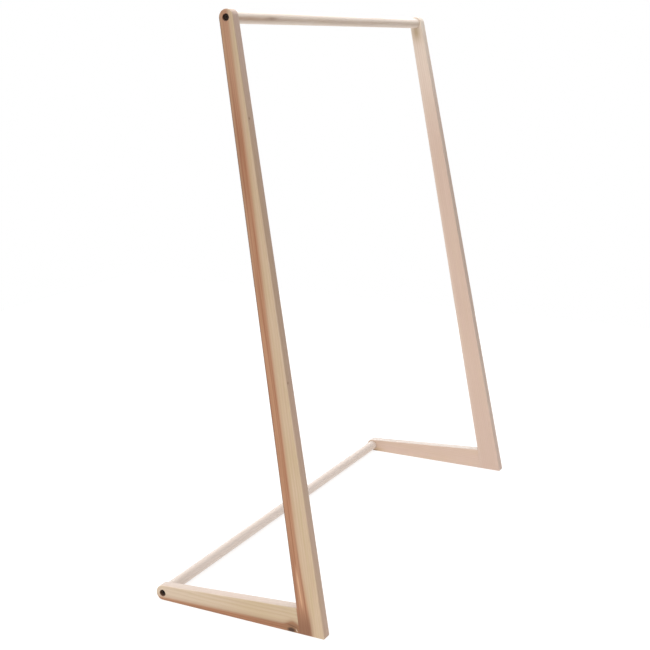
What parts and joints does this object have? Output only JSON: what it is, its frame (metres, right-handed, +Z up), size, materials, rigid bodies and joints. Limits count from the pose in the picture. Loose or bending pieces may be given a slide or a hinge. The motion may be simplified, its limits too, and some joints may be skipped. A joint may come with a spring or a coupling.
{
  "type": "standing loom frame",
  "caption": "Standing wooden loom frame: leaning tapered side frames, each an upright on a long foot, joined by a round top rail and a round bottom rail.",
  "frame": {"origin": "on the floor, under the middle of the frame's box", "axes": "+Z up; X along the two rails; -Y is the front, where the uprights stand on the floor; +Y is the rear, where the feet end and the bottom rail is"},
  "size_m": [1.3638, 0.5022, 1.5195],
  "materials": {
    "pine_left_upright": "sanded pine with a red-brown heartwood stripe, matt",
    "pine_left_foot": "sanded pine with heartwood along its lower edge and a knot, matt",
    "pine_right": "sanded pale pine, matt",
    "pine_rail": "turned pale pine, satin",
    "dowel_beech": "plain beech, glued in",
    "black_steel": "black oxide, satin",
    "insert_brass": "as machined"
  },
  "bodies": {
    "side_frames": {"left_upright": "pine_left_upright", "left_foot": "pine_left_foot", "left_lower_dowel": "dowel_beech", "left_upper_dowel": "dowel_beech", "right_upright": "pine_right", "right_foot": "pine_right", "right_lower_dowel": "dowel_beech", "right_upper_dowel": "dowel_beech", "top_left_washer": "black_steel", "top_right_washer": "black_steel", "bottom_left_washer": "black_steel", "bottom_right_washer": "black_steel"},
    "top_beam": {"top_rail": "pine_rail", "top_left_bolt": "black_steel", "top_left_insert": "insert_brass", "top_right_bolt": "black_steel", "top_right_insert": "insert_brass"},
    "bottom_beam": {"bottom_rail": "pine_rail", "bottom_left_bolt": "black_steel", "bottom_left_insert": "insert_brass", "bottom_right_bolt": "black_steel", "bottom_right_insert": "insert_brass"}
  },
  "joints": [
    {"name": "top_rail_turn", "type": "hinge", "parent": "side_frames", "child": "top_beam", "pos_m": [0, 0.0551, 1.5], "axis": [1, 0, 0], "continuous": true},
    {"name": "bottom_rail_turn", "type": "hinge", "parent": "side_frames", "child": "bottom_beam", "pos_m": [0, 0.2311, 0.02], "axis": [1, 0, 0], "continuous": true}
  ]
}
